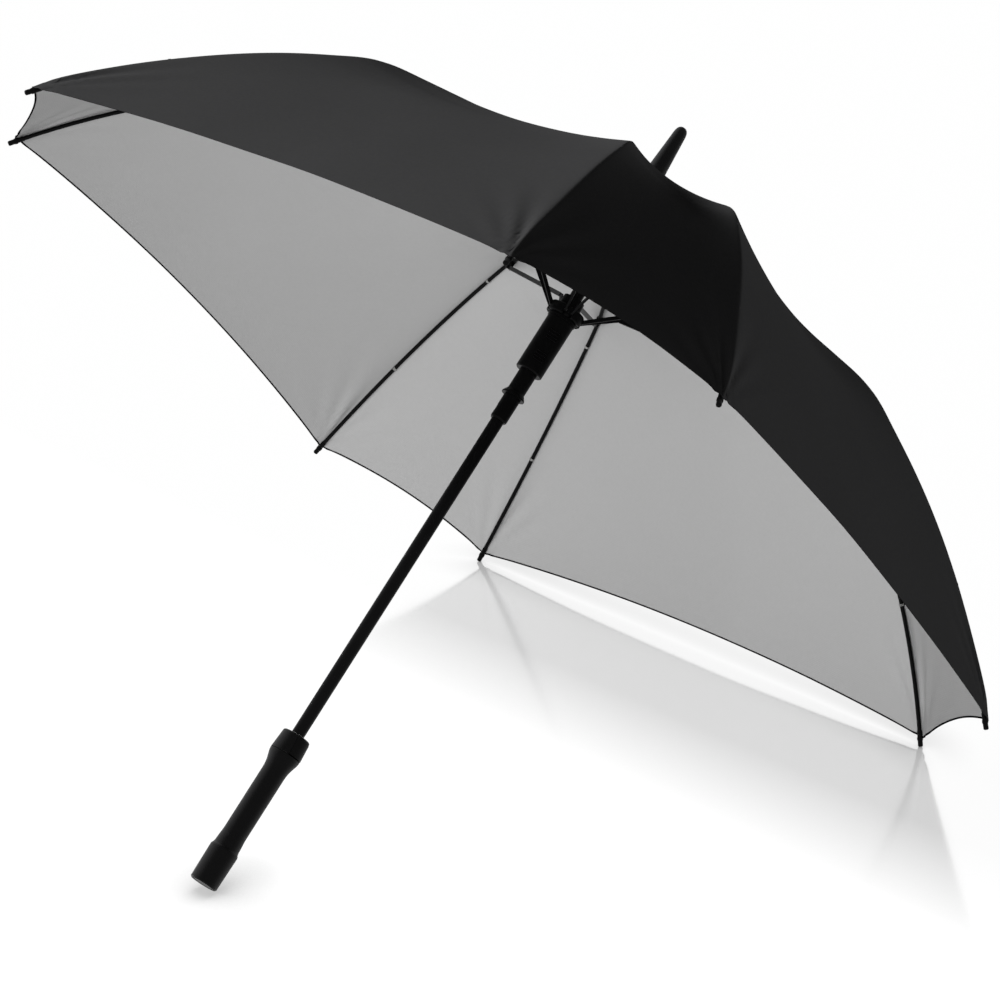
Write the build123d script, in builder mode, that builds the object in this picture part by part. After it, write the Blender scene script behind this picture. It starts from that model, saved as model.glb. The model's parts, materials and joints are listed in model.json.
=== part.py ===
from build123d import *
import math
import os

# Square-canopy automatic stick umbrella, standing upright with the canopy open.
# Eight ribs leave the crown in four close pairs, so the canopy is a square with cut
# corners.  Millimetres, +Z up the shaft, origin at the centre of the handle's end face.

os.makedirs("parts", exist_ok=True)

# ---------------------------------------------------------------- driving dimensions
# overall
total_length = 935.0
ferrule_height = 87.5  # from the ribs' hinges to the ferrule's end
canopy_depth = 293.5  # from the ribs' hinges down to their tips
tip_radius = 583.0
corner_count = 4
pair_half_angle = 11.2  # each rib stands this far to one side of its corner's centre

# clearances
fit_gap = 0.05  # pieces that are pressed, glued or pinned together
slide_gap = 0.08  # pieces that slide or turn on each other

# shaft
shaft_radius = 7.0
shaft_wall = 1.3
shaft_bottom = 14.0

# handle
grip_length = 153.2
grip_radius = 12.75
pommel_radius = 15.6
pommel_foot_radius = 15.0
pommel_length = 40.0
grip_top_radius = 16.8
grip_bore_radius = 9.6
socket_depth = 6.4  # how far the runner's tail reaches into the grip
end_wall = 6.0
end_disc_radius = 11.0
end_disc_thickness = 1.6
joint_line = 0.8
collar_height = 22.0
collar_top_radius = 15.2
collar_wall = 3.4
collar_lid = 2.6
skirt_depth = 4.0
skirt_wall = 1.2
socket_wall = 0.9

# push button, its return spring and the catch it moves
button_azimuth = -45.0
button_half_width = 10.6
button_proud = 0.35
button_travel = 2.5
button_gap = 0.3
button_spring_radius = 1.8
button_spring_wire = 0.35
button_spring_turns = 3
catch_thickness = 3.2
catch_rise = 2.0  # above the collar's lower edge
catch_bite = 0.5  # how far the catch reaches under the runner's tail radius

# crown
hinge_radius = 12.0
notch_radius = 14.5
notch_above = 2.5
notch_below = 4.5
crown_hub_radius = 9.2
crown_hub_height = 9.0
slot_width = 2.9
slot_root_radius = 9.4
wire_radius = 0.6
eye_radius = 2.2
eye_thickness = 2.2

# ribs
rib_radius = 2.2
strut_angle = 11.0  # fall of the rib between the crown and the knee
knee_radius = 310.0  # distance of the knee from the shaft's axis
bow_angle = 29.5  # fall of the rib just outside the knee
knee_reach = 4.5  # length of the knee's bend, each way
rod_start = 7.0  # distance of the round rod from its hinge
tongue_lap = 3.0

# bracket that joins a stretcher to its rib
bracket_back = 10.0
bracket_length = 11.0
bracket_radius = 3.4
pivot_drop = 7.0
ear_radius = 2.4
ear_thickness = 1.8
pin_radius = 1.0

# rib tips
cap_radius = 3.2
cap_grip = 9.0
cap_overhang = 8.5
cap_band = 3.0

# stretchers
stretcher_height = 4.4
stretcher_width = 3.4
stretcher_wall = 0.7
stretcher_tongue = 10.0
crank_length = 45.0  # flat link from the runner's ring to the elbow
crank_rise = 40.0  # degrees

# runner
ring_drop = 151.5  # from the ribs' hinges down to the runner's wire ring
ring_radius = 18.0
flange_radius = 19.7
flange_above = 5.5
flange_below = 5.5
flange_slot_root = 14.9
head_radius = 15.0
head_length = 66.5
neck_radius = 15.8
neck_height = 3.5
hub_radius = 12.4
hub_height = 12.5
grip_bar_length = 11.0
grip_bar_proud = 0.5
sleeve_radius = 9.65
runner_collar_drop = 104.5  # from the wire ring down to the collar's foot
runner_collar_radius = 13.1
runner_collar_height = 6.9
tail_length = 29.0
tail_radius = 9.3
notch_depth = 0.9
notch_half_angle = 55.0

# opening drive inside the shaft
drive_pin_radius = 1.2
drive_pin_drop = 68.0  # below the wire ring
drive_pin_half_length = 9.0
plunger_length = 14.0
drive_spring_wire = 0.65
drive_spring_turns = 24
spring_seat_rise = 130.0
spring_seat_length = 12.0

# ferrule and the washer over the canopy's centre
ferrule_base_radius = 12.8
ferrule_waist_radius = 9.7
ferrule_neck_radius = 7.15
washer_radius = 20.0
washer_thickness = 1.1

# canopy: sizes at the middle of a narrow and of a wide panel
fabric_thickness = 0.6
fabric_gap = 0.5
seam_gap = 0.2
crown_hole_radius = 10.0
strip_turn = 4.6  # the most that the ribs' bow turns, in degrees, along one flat strip of cloth
narrow_sag = 9.0
wide_sag = 12.0
narrow_hem = (5.4, 12.6)  # the hem curves inwards and upwards between its two ribs
wide_hem = (7.8, 17.6)

# ---------------------------------------------------------------- derived places
hinge_height = total_length - ferrule_height
tip_height = hinge_height - canopy_depth
ring_height = hinge_height - ring_drop
shaft_bore = shaft_radius - shaft_wall
shaft_top = hinge_height + 20.0
collar_bottom = grip_length + joint_line
collar_top = collar_bottom + collar_height
cavity_radius = grip_top_radius - collar_wall
cavity_top = collar_top - collar_lid
core_top = grip_length - socket_depth
runner_foot = ring_height - runner_collar_drop
runner_travel = runner_foot - collar_top - button_gap
wire_hole = wire_radius + 0.1
pin_hole = pin_radius + slide_gap
half_sector = 180.0 / corner_count
corner_azimuths = [2 * half_sector * n for n in range(corner_count)]
rib_azimuths = [c + side * pair_half_angle for c in corner_azimuths for side in (-1, 1)]

# knee of the rib, and the arc that the outer rib bends into
strut_fall = math.radians(strut_angle)
knee_height = hinge_height - (knee_radius - hinge_radius) * math.tan(strut_fall)
bow_run = tip_radius - knee_radius
bow_drop = knee_height - tip_height
bow_chord_angle = math.degrees(math.atan2(bow_drop, bow_run))
bow_turn = 2 * (bow_chord_angle - bow_angle)
bow_radius = math.hypot(bow_run, bow_drop) / (2 * math.sin(math.radians(bow_turn / 2)))
bow_centre_r = knee_radius - bow_radius * math.sin(math.radians(bow_angle))
bow_centre_z = knee_height - bow_radius * math.cos(math.radians(bow_angle))
tip_fall = math.radians(bow_angle + bow_turn)

# pivot of the stretcher under the rib, and the line from there to the runner's ring
bracket_r = knee_radius - bracket_back * math.cos(strut_fall)
bracket_z = knee_height + bracket_back * math.sin(strut_fall)
pivot_r = bracket_r - pivot_drop * math.sin(strut_fall)
pivot_z = bracket_z - pivot_drop * math.cos(strut_fall)
elbow_r = ring_radius + crank_length * math.cos(math.radians(crank_rise))
elbow_z = ring_height + crank_length * math.sin(math.radians(crank_rise))
channel_rise = math.degrees(math.atan2(pivot_z - elbow_z, pivot_r - elbow_r))
channel_end = math.hypot(pivot_r - elbow_r, pivot_z - elbow_z) - stretcher_tongue


def rib_plane(azimuth):
    """Upright plane through the shaft's axis: local x runs outwards, local y runs up."""
    a = math.radians(azimuth)
    out = (math.cos(a), math.sin(a), 0)
    side = (math.sin(a), -math.cos(a), 0)
    return Plane(origin=(0, 0, 0), x_dir=out, z_dir=side)


def finish(part, name):
    """Label a finished piece and write its STEP file."""
    part.label = name
    export_step(part, f"parts/{name}.step")


# ---------------------------------------------------------------- shaft
drive_pin_height = ring_height - drive_pin_drop
slot_half_width = drive_pin_radius + 0.2
slot_length = runner_travel + 2 * slot_half_width

with BuildPart() as shaft_tube:
    with BuildSketch(Plane.XY.offset(shaft_bottom)):
        Circle(shaft_radius)
        Circle(shaft_bore, mode=Mode.SUBTRACT)
    extrude(amount=shaft_top - shaft_bottom)
    with BuildSketch(Plane.YZ):
        with Locations((0, drive_pin_height - runner_travel / 2)):
            SlotOverall(slot_length, 2 * slot_half_width, rotation=90)
    extrude(amount=shaft_radius + 1, both=True, mode=Mode.SUBTRACT)
    with BuildSketch(Plane.XZ):
        with Locations((0, hinge_height - crown_hub_height)):
            Circle(pin_radius + fit_gap)
    extrude(amount=shaft_radius + 1, both=True, mode=Mode.SUBTRACT)
finish(shaft_tube.part, "shaft_tube")

with BuildPart() as spring_seat:
    with BuildSketch(Plane.XY.offset(spring_seat_rise)):
        Circle(shaft_bore - fit_gap)
    extrude(amount=spring_seat_length)
    chamfer(spring_seat.edges().group_by(Axis.Z)[-1], 0.6)
finish(spring_seat.part, "spring_seat")

drive_spring_low = spring_seat_rise + spring_seat_length + drive_spring_wire + fit_gap
drive_spring_high = drive_pin_height - plunger_length / 2 - drive_spring_wire - fit_gap
drive_spring_span = drive_spring_high - drive_spring_low

with BuildPart() as opening_spring:
    with BuildLine() as drive_coil:
        Helix(
            pitch=drive_spring_span / drive_spring_turns,
            height=drive_spring_span,
            radius=shaft_bore - 0.5 - drive_spring_wire,
            center=(0, 0, drive_spring_low),
        )
    with BuildSketch(Plane(origin=drive_coil.line @ 0, z_dir=drive_coil.line % 0)):
        Circle(drive_spring_wire)
    sweep(path=drive_coil.line, is_frenet=True)
finish(opening_spring.part, "opening_spring")

# ---------------------------------------------------------------- handle
with BuildPart() as handle_grip:
    with BuildSketch(Plane.XZ):
        with BuildLine():
            edge = Line((pommel_foot_radius - 1.2, 0), (pommel_foot_radius, 1.2))
            pommel = Line(edge @ 1, (pommel_radius, pommel_length - 1.0))
            lip = Line(pommel @ 1, (pommel_radius - 0.5, pommel_length + 0.6))
            shoulder = Spline(
                lip @ 1,
                (grip_radius + 0.8, pommel_length + 8.5),
                (grip_radius, pommel_length + 20.0),
                tangents=((-1, 1.2), (0, 1)),
            )
            waist = Line(shoulder @ 1, (grip_radius, grip_length - 23.0))
            flare = Spline(
                waist @ 1,
                (grip_radius + 1.6, grip_length - 10.5),
                (grip_top_radius - 0.4, grip_length - 3.4),
                (grip_top_radius, grip_length),
                tangents=((0, 1), (0.05, 1)),
            )
            Polyline(flare @ 1, (0, grip_length), (0, 0), edge @ 0)
        make_face()
    revolve(axis=Axis.Z)
    with BuildSketch(Plane.XY.offset(end_wall)):
        Circle(grip_bore_radius)
    extrude(amount=grip_length, mode=Mode.SUBTRACT)
    with BuildSketch(Plane.XY.offset(grip_length)):
        Circle(cavity_radius + skirt_wall + fit_gap)
        Circle(cavity_radius - fit_gap, mode=Mode.SUBTRACT)
    extrude(amount=joint_line - skirt_depth - fit_gap, mode=Mode.SUBTRACT)
    with BuildSketch(Plane.XY):
        Circle(end_disc_radius + fit_gap)
    extrude(amount=end_disc_thickness + 0.3, mode=Mode.SUBTRACT)
finish(handle_grip.part, "handle_grip")

with BuildPart() as handle_end_disc:
    with BuildSketch(Plane.XY.offset(0.25)):
        Circle(end_disc_radius)
    extrude(amount=end_disc_thickness)
    chamfer(handle_end_disc.edges().group_by(Axis.Z)[0], 0.4)
finish(handle_end_disc.part, "handle_end_disc")

with BuildPart() as handle_core:
    with BuildSketch(Plane.XY.offset(end_wall + fit_gap)):
        Circle(grip_bore_radius - fit_gap)
    extrude(amount=core_top - end_wall - fit_gap)
    with BuildSketch(Plane.XY.offset(shaft_bottom - fit_gap)):
        Circle(shaft_radius + fit_gap)
    extrude(amount=core_top, mode=Mode.SUBTRACT)
finish(handle_core.part, "handle_core")


def collar_radius(height):
    """Outer radius of the collar: it narrows evenly towards its top."""
    share = (height - collar_bottom) / collar_height
    return grip_top_radius + (collar_top_radius - grip_top_radius) * share


button_side = Plane.XY.rotated((0, 0, button_azimuth))
button_front = Plane(origin=(0, 0, 0), x_dir=button_side.y_dir, z_dir=button_side.x_dir)
catch_bottom = collar_bottom + catch_rise
catch_top = catch_bottom + catch_thickness

with BuildPart() as handle_collar:
    with BuildSketch(Plane.XZ):
        with BuildLine():
            Polyline(
                (grip_bore_radius, collar_top),
                (collar_top_radius, collar_top),
                (grip_top_radius, collar_bottom),
                (cavity_radius + skirt_wall, collar_bottom),
                (cavity_radius + skirt_wall, collar_bottom - skirt_depth),
                (cavity_radius, collar_bottom - skirt_depth),
                (cavity_radius, cavity_top),
                (grip_bore_radius, cavity_top),
                close=True,
            )
        make_face()
    revolve(axis=Axis.Z)
    fillet(handle_collar.edges().group_by(Axis.Z)[-1].sort_by(SortBy.RADIUS)[-1], 2.0)
    # tube that keeps the runner's tail clear of the button's spring
    with BuildSketch(Plane.XY.offset(catch_top + 1.0)):
        Circle(grip_bore_radius + socket_wall)
        Circle(grip_bore_radius, mode=Mode.SUBTRACT)
    extrude(until=Until.NEXT)
    # window for the button, open at the joint with the grip
    with BuildSketch(button_side.offset(collar_bottom - skirt_depth - 1.0)):
        with Locations((grip_top_radius, 0)):
            Rectangle(2 * grip_top_radius, 2 * (button_half_width + button_gap))
        Circle(cavity_radius, mode=Mode.SUBTRACT)
    extrude(amount=cavity_top - collar_bottom + skirt_depth + 1.0, mode=Mode.SUBTRACT)
finish(handle_collar.part, "handle_collar")

button_low = collar_bottom + button_gap
button_high = cavity_top - button_gap
button_back = cavity_radius - 0.15
button_spring_height = (catch_top + cavity_top) / 2 + 0.5
button_spring_root = grip_bore_radius + socket_wall + fit_gap
button_pocket_depth = 1.2

with BuildPart() as push_button:
    with BuildSketch(Plane.XZ):
        with BuildLine():
            Polyline(
                (button_back, button_low),
                (collar_radius(button_low) + button_proud, button_low),
                (collar_radius(button_high) + button_proud, button_high),
                (button_back, button_high),
                close=True,
            )
        make_face()
    revolve(axis=Axis.Z)
    with BuildSketch(button_side.offset(button_low)):
        with Locations((grip_top_radius, 0)):
            Rectangle(2 * grip_top_radius, 2 * button_half_width)
    extrude(amount=collar_height, mode=Mode.INTERSECT)
    with BuildSketch(button_front):
        with Locations((0, button_spring_height)):
            Circle(button_spring_radius + button_spring_wire + 0.25)
    extrude(amount=button_back + button_pocket_depth, mode=Mode.SUBTRACT)
finish(push_button.part, "push_button")

button_spring_low = button_spring_root + button_spring_wire
button_spring_span = button_back + button_pocket_depth - button_spring_low - button_spring_wire - fit_gap

with BuildPart() as button_spring:
    with BuildLine() as button_coil:
        Helix(
            pitch=button_spring_span / button_spring_turns,
            height=button_spring_span,
            radius=button_spring_radius,
            center=button_front.from_local_coords((0, button_spring_height, button_spring_low)),
            direction=button_front.z_dir,
        )
    with BuildSketch(Plane(origin=button_coil.line @ 0, z_dir=button_coil.line % 0)):
        Circle(button_spring_wire)
    sweep(path=button_coil.line, is_frenet=True)
finish(button_spring.part, "button_spring")

# The plate hangs from the button.  Its far edge sits in the runner tail's notch when the
# umbrella is closed, and pressing the button carries that edge outwards.
catch_far_outer = cavity_radius - button_travel - 0.2
catch_near_outer = button_back - fit_gap
catch_far_inner = tail_radius - catch_bite
catch_near_inner = tail_radius + button_travel + button_gap

with BuildPart() as catch_plate:
    with BuildSketch(button_side.offset(catch_bottom)):
        with Locations(((catch_near_outer - catch_far_outer) / 2, 0)):
            Circle((catch_near_outer + catch_far_outer) / 2)
        with Locations(((catch_near_inner - catch_far_inner) / 2, 0)):
            Circle((catch_near_inner + catch_far_inner) / 2, mode=Mode.SUBTRACT)
    extrude(amount=catch_thickness)
finish(catch_plate.part, "catch_plate")

# ---------------------------------------------------------------- crown
notch_top = hinge_height + notch_above
notch_bottom = hinge_height - notch_below
crown_pin_height = hinge_height - crown_hub_height
crown_hub_bottom = crown_pin_height - 4.5

with BuildPart() as crown_notch:
    with BuildSketch(Plane.XY.offset(notch_bottom)):
        Circle(notch_radius)
    extrude(amount=notch_top - notch_bottom)
    with BuildSketch(Plane.XY.offset(crown_hub_bottom)):
        Circle(crown_hub_radius)
    extrude(amount=notch_bottom - crown_hub_bottom)
    with BuildSketch(Plane.XY.offset(crown_hub_bottom)):
        Circle(shaft_radius + fit_gap)
    extrude(amount=notch_top - crown_hub_bottom, mode=Mode.SUBTRACT)
    with BuildSketch(Plane.XY.offset(notch_bottom)):
        for azimuth in rib_azimuths:
            with Locations(Location((0, 0, 0), (0, 0, azimuth))):
                with Locations(((slot_root_radius + notch_radius + 1) / 2, 0)):
                    Rectangle(notch_radius + 1 - slot_root_radius, slot_width)
    extrude(amount=notch_top - notch_bottom, mode=Mode.SUBTRACT)
    with BuildSketch(Plane.XZ):
        with Locations((hinge_radius, hinge_height)):
            Circle(wire_radius + fit_gap)
    revolve(axis=Axis.Z, mode=Mode.SUBTRACT)
    with BuildSketch(Plane.XZ):
        with Locations((0, crown_pin_height)):
            Circle(pin_radius + fit_gap)
    extrude(amount=crown_hub_radius + 1, both=True, mode=Mode.SUBTRACT)
finish(crown_notch.part, "crown_notch")

with BuildPart() as crown_wire:
    with BuildSketch(Plane.XZ):
        with Locations((hinge_radius, hinge_height)):
            Circle(wire_radius)
    revolve(axis=Axis.Z)
finish(crown_wire.part, "crown_wire")

with BuildPart() as crown_pin:
    with BuildSketch(Plane.XZ):
        with Locations((0, crown_pin_height)):
            Circle(pin_radius)
    extrude(amount=crown_hub_radius, both=True)
finish(crown_pin.part, "crown_pin")

# ---------------------------------------------------------------- ribs, brackets, caps
def make_rib(azimuth):
    """Flat tongue with an eye for the crown's wire, then a rod bent at the knee."""
    plane = rib_plane(azimuth)
    strut_x = math.cos(strut_fall)
    strut_y = -math.sin(strut_fall)
    bend_end = math.radians(bow_angle) + knee_reach / bow_radius
    bend_stop = (
        bow_centre_r + bow_radius * math.sin(bend_end),
        bow_centre_z + bow_radius * math.cos(bend_end),
    )
    with BuildPart() as rib:
        with BuildLine(plane) as spine:
            strut = Line(
                (hinge_radius + rod_start * strut_x, hinge_height + rod_start * strut_y),
                (knee_radius - knee_reach * strut_x, knee_height - knee_reach * strut_y),
            )
            bend = TangentArc(strut @ 1, bend_stop, tangent=strut % 1)
            TangentArc(bend @ 1, (tip_radius, tip_height), tangent=bend % 1)
        with BuildSketch(Plane(origin=strut @ 0, z_dir=strut % 0)):
            Circle(rib_radius)
        sweep(path=spine.line)
        with BuildSketch(plane):
            with Locations((hinge_radius, hinge_height)):
                Circle(eye_radius)
                with Locations(Location((0, 0, 0), (0, 0, -strut_angle))):
                    with Locations(((rod_start + tongue_lap) / 2, 0)):
                        Rectangle(rod_start + tongue_lap, 2 * eye_radius - 0.2)
        extrude(amount=eye_thickness / 2, both=True)
        with BuildSketch(plane):
            with Locations((hinge_radius, hinge_height)):
                Circle(wire_hole)
        extrude(amount=eye_thickness, both=True, mode=Mode.SUBTRACT)
    return rib.part


def make_bracket(azimuth):
    """Sleeve on the rib with two ears below it and the pin that the stretcher turns on."""
    plane = rib_plane(azimuth)
    ear_inner = eye_thickness / 2 + 0.3
    ear_outer = ear_inner + ear_thickness
    along = plane.from_local_coords((math.cos(strut_fall), -math.sin(strut_fall), 0))
    back = plane.from_local_coords(
        (
            bracket_r - bracket_length / 2 * math.cos(strut_fall),
            bracket_z + bracket_length / 2 * math.sin(strut_fall),
            0,
        )
    )
    with BuildPart() as bracket:
        with BuildSketch(plane):
            with Locations((pivot_r, pivot_z)):
                Circle(ear_radius)
            with Locations(Location((bracket_r, bracket_z, 0), (0, 0, -strut_angle))):
                Rectangle(bracket_length * 0.6, bracket_radius)
            make_hull()
        extrude(amount=ear_outer, both=True)
        with BuildSketch(plane):
            with Locations(Location((pivot_r, pivot_z, 0), (0, 0, -strut_angle))):
                Rectangle(bracket_length, 2 * (pivot_drop - bracket_radius + 0.6))
        extrude(amount=ear_inner, both=True, mode=Mode.SUBTRACT)
        with BuildSketch(plane):
            with Locations((pivot_r, pivot_z)):
                Circle(pin_radius)
        extrude(amount=ear_outer, both=True)
        with BuildSketch(Plane(origin=back, z_dir=along)):
            Circle(bracket_radius)
        extrude(amount=bracket_length)
        with BuildSketch(Plane(origin=back, z_dir=along)):
            Circle(rib_radius + fit_gap)
        extrude(amount=bracket_length, mode=Mode.SUBTRACT)
    return bracket.part


def make_cap(azimuth):
    """Moulded cap on the rib's end, with a raised band that the canopy is sewn to."""
    plane = rib_plane(azimuth)
    end = plane.from_local_coords((tip_radius, tip_height, 0))
    along = plane.from_local_coords((math.cos(tip_fall), -math.sin(tip_fall), 0))
    outwards = Plane(origin=end, z_dir=along)
    with BuildPart() as cap:
        with BuildSketch(outwards.offset(-cap_grip)):
            Circle(cap_radius - 0.5)
        extrude(amount=cap_grip + cap_overhang)
        rims = cap.edges().filter_by(GeomType.CIRCLE)
        fillet(rims.sort_by_distance(end + along * cap_overhang)[0], 1.4)
        with BuildSketch(outwards.offset(-cap_band / 2)):
            Circle(cap_radius)
        extrude(amount=cap_band)
        with BuildSketch(outwards.offset(-cap_grip)):
            Circle(rib_radius + 2 * fit_gap)
        extrude(amount=cap_grip + fit_gap, mode=Mode.SUBTRACT)
    return cap.part


# ---------------------------------------------------------------- stretchers
def make_stretcher(azimuth):
    """Folded channel, open upwards, with a flat cranked link at its inner end."""
    plane = rib_plane(azimuth)
    rise = math.radians(channel_rise)
    elbow = plane.from_local_coords((elbow_r, elbow_z, 0))
    along = plane.from_local_coords((math.cos(rise), math.sin(rise), 0))
    section = Plane(origin=elbow, x_dir=plane.z_dir, z_dir=along)
    link_height = 2 * eye_radius - 0.4
    with BuildPart() as stretcher:
        with BuildSketch(section.offset(2.0)):
            Rectangle(stretcher_width, stretcher_height)
            with Locations((0, -stretcher_wall)):
                Rectangle(
                    stretcher_width - 2 * stretcher_wall,
                    stretcher_height,
                    mode=Mode.SUBTRACT,
                )
        extrude(amount=channel_end - 2.0)
        with BuildSketch(plane):
            for start, tilt, reach, end_radius in (
                ((ring_radius, ring_height, 0), crank_rise, crank_length, eye_radius),
                ((elbow_r, elbow_z, 0), channel_rise, stretcher_tongue, link_height / 2),
                ((pivot_r, pivot_z, 0), channel_rise + 180, stretcher_tongue + 2.0, eye_radius),
            ):
                with Locations(Location(start, (0, 0, tilt))):
                    Circle(end_radius)
                    with Locations((reach / 2, 0)):
                        Rectangle(reach, link_height)
        extrude(amount=eye_thickness / 2, both=True)
        with BuildSketch(plane):
            with Locations((ring_radius, ring_height)):
                Circle(wire_hole)
            with Locations((pivot_r, pivot_z)):
                Circle(pin_hole)
        extrude(amount=eye_thickness, both=True, mode=Mode.SUBTRACT)
    return stretcher.part


# ---------------------------------------------------------------- canopy
bow_spans = math.ceil(bow_turn / strip_turn)
span_turn = bow_turn / bow_spans
span_dip = bow_radius * (1 - math.cos(math.radians(span_turn / 2)))
bow_falls = [math.radians(bow_angle + span_turn * n) for n in range(1, bow_spans + 1)]
bow_stations = [bow_centre_r + bow_radius * math.sin(fall) for fall in bow_falls]
strut_middle = (washer_radius + knee_radius) / 2
stations = [crown_hole_radius, washer_radius, strut_middle, knee_radius] + bow_stations
joint_cover = max(bracket_radius, cap_radius) + fabric_gap
rod_cover = rib_radius + span_dip + 1.5 * fabric_gap
fabric_offset = max(joint_cover, rod_cover)


def rib_point(radius, offset):
    """Point (radius, height) at this distance square to the rib's centre line."""
    if radius <= knee_radius:
        fall = strut_fall
        height = hinge_height - (radius - hinge_radius) * math.tan(strut_fall)
        if radius == knee_radius:
            fall = (strut_fall + math.radians(bow_angle)) / 2
    else:
        fall = math.asin((radius - bow_centre_r) / bow_radius)
        height = bow_centre_z + bow_radius * math.cos(fall)
    return radius + offset * math.sin(fall), height + offset * math.cos(fall)


def spoke_point(radius, height, azimuth):
    """Point at this distance from the shaft's axis, at a height and an azimuth."""
    a = math.radians(azimuth)
    return Vector(radius * math.cos(a), radius * math.sin(a), height)


def make_gore_half(azimuth, middle_azimuth, sag, hem):
    """Cloth from one rib to the middle of the panel beside it, as a ruled loft."""
    half_angle = math.radians(middle_azimuth - azimuth)
    turned_in = math.copysign(90.0, azimuth - middle_azimuth)
    away_from_seam = spoke_point(seam_gap, 0.0, middle_azimuth + turned_in)
    with BuildPart() as half:
        for radius in stations:
            share = (radius - crown_hole_radius) / (tip_radius - crown_hole_radius)
            low_r, low_z = rib_point(radius, fabric_offset)
            high_r, high_z = rib_point(radius, fabric_offset + fabric_thickness)
            through = spoke_point(high_r - low_r, high_z - low_z, azimuth)
            hem_share = max(0.0, (share - 0.5) / 0.5) ** 3
            middle_r = low_r * math.cos(half_angle) - hem[0] * hem_share
            middle_z = low_z - sag * math.sin(math.pi * share) ** 2 + hem[1] * hem_share
            on_rib = spoke_point(low_r, low_z, azimuth)
            in_middle = spoke_point(middle_r, middle_z, middle_azimuth) + away_from_seam
            across = in_middle - on_rib
            section = Plane(origin=on_rib, x_dir=across, z_dir=across.cross(through))
            corners = (on_rib, in_middle, in_middle + through, on_rib + through)
            outline = [section.to_local_coords(c) for c in corners]
            with BuildSketch(section):
                Polygon(*[(c.X, c.Y) for c in outline], align=None)
        loft(ruled=True)
    return half.part


def make_gore(azimuth, corner):
    """The canopy's share over one rib: half a narrow panel and half a wide one."""
    wide_middle = corner + math.copysign(half_sector, azimuth - corner)
    with BuildPart() as gore:
        add(make_gore_half(azimuth, corner, narrow_sag, narrow_hem))
        add(make_gore_half(azimuth, wide_middle, wide_sag, wide_hem))
    return gore.part


for number, azimuth in enumerate(rib_azimuths, start=1):
    corner = corner_azimuths[(number - 1) // 2]
    finish(make_rib(azimuth), f"rib_{number}")
    finish(make_bracket(azimuth), f"bracket_{number}")
    finish(make_cap(azimuth), f"tip_cap_{number}")
    finish(make_stretcher(azimuth), f"stretcher_{number}")
    finish(make_gore(azimuth, corner), f"canopy_{number}")

# ---------------------------------------------------------------- runner
flange_bottom = ring_height - flange_below
flange_top = ring_height + flange_above
head_bottom = flange_bottom - neck_height + 2.0 - head_length
neck_bottom = flange_bottom - neck_height
hub_top = flange_top + hub_height
bar_count = 4
bar_pitch = 3.2

with BuildPart() as runner_head:
    with BuildSketch(Plane.XZ):
        with BuildLine():
            Polyline(
                (sleeve_radius + fit_gap, head_bottom),
                (head_radius - 1.0, head_bottom),
                (head_radius, head_bottom + 1.0),
                (head_radius, neck_bottom),
                (neck_radius, neck_bottom),
                (neck_radius, flange_bottom),
                (flange_radius - 0.8, flange_bottom),
                (flange_radius, flange_bottom + 0.8),
                (flange_radius, flange_top - 0.8),
                (flange_radius - 0.8, flange_top),
                (hub_radius, flange_top),
                (hub_radius - 0.6, hub_top),
                (sleeve_radius + fit_gap, hub_top),
                close=True,
            )
        make_face()
    revolve(axis=Axis.Z)
    with BuildSketch(Plane.XY.offset(flange_bottom)):
        for azimuth in rib_azimuths:
            with Locations(Location((0, 0, 0), (0, 0, azimuth))):
                with Locations(((flange_slot_root + flange_radius + 1) / 2, 0)):
                    Rectangle(flange_radius + 1 - flange_slot_root, slot_width)
    extrude(amount=flange_top - flange_bottom, mode=Mode.SUBTRACT)
    with BuildSketch(Plane.XZ):
        with Locations((ring_radius, ring_height)):
            Circle(wire_radius + fit_gap)
    revolve(axis=Axis.Z, mode=Mode.SUBTRACT)
    # two sets of short finger bars, front and back
    with BuildSketch(Plane.XZ) as finger_bars:
        for share in (0.27, 0.66):
            with Locations((0, head_bottom + head_length * share)):
                with GridLocations(0, bar_pitch, 1, bar_count):
                    SlotOverall(grip_bar_length, 1.3)
    extrude(amount=head_radius + grip_bar_proud, both=True)
    with BuildSketch(Plane.XY.offset(head_bottom)):
        Circle(sleeve_radius + fit_gap)
    extrude(amount=hub_top - head_bottom, mode=Mode.SUBTRACT)
finish(runner_head.part, "runner_head")

tail_bottom = runner_foot - tail_length
notch_low = tail_bottom + socket_depth + joint_line + catch_rise - 2.0
notch_high = notch_low + catch_thickness + 4.0
with BuildPart() as runner_sleeve:
    with BuildSketch(Plane.XZ):
        with BuildLine():
            Polyline(
                (shaft_radius + slide_gap, tail_bottom),
                (tail_radius - 0.8, tail_bottom),
                (tail_radius, tail_bottom + 1.6),
                (tail_radius, runner_foot),
                (runner_collar_radius, runner_foot),
                (runner_collar_radius, runner_foot + 1.5),
                (sleeve_radius, runner_foot + runner_collar_height),
                (sleeve_radius, hub_top),
                (shaft_radius + slide_gap, hub_top),
                close=True,
            )
        make_face()
    revolve(axis=Axis.Z)
    # notch for the catch, on the side away from the button
    with BuildSketch(button_side.offset(notch_low)):
        Circle(tail_radius + 1.0)
        Circle(tail_radius - notch_depth, mode=Mode.SUBTRACT)
        with Locations((-tail_radius, 0)):
            Rectangle(
                2 * tail_radius * (1 - math.cos(math.radians(notch_half_angle))),
                3 * tail_radius,
                mode=Mode.INTERSECT,
            )
    extrude(amount=notch_high - notch_low, mode=Mode.SUBTRACT)
    with BuildSketch(Plane.YZ):
        with Locations((0, drive_pin_height)):
            Circle(drive_pin_radius + fit_gap)
    extrude(amount=sleeve_radius + 1, both=True, mode=Mode.SUBTRACT)
finish(runner_sleeve.part, "runner_sleeve")

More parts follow.
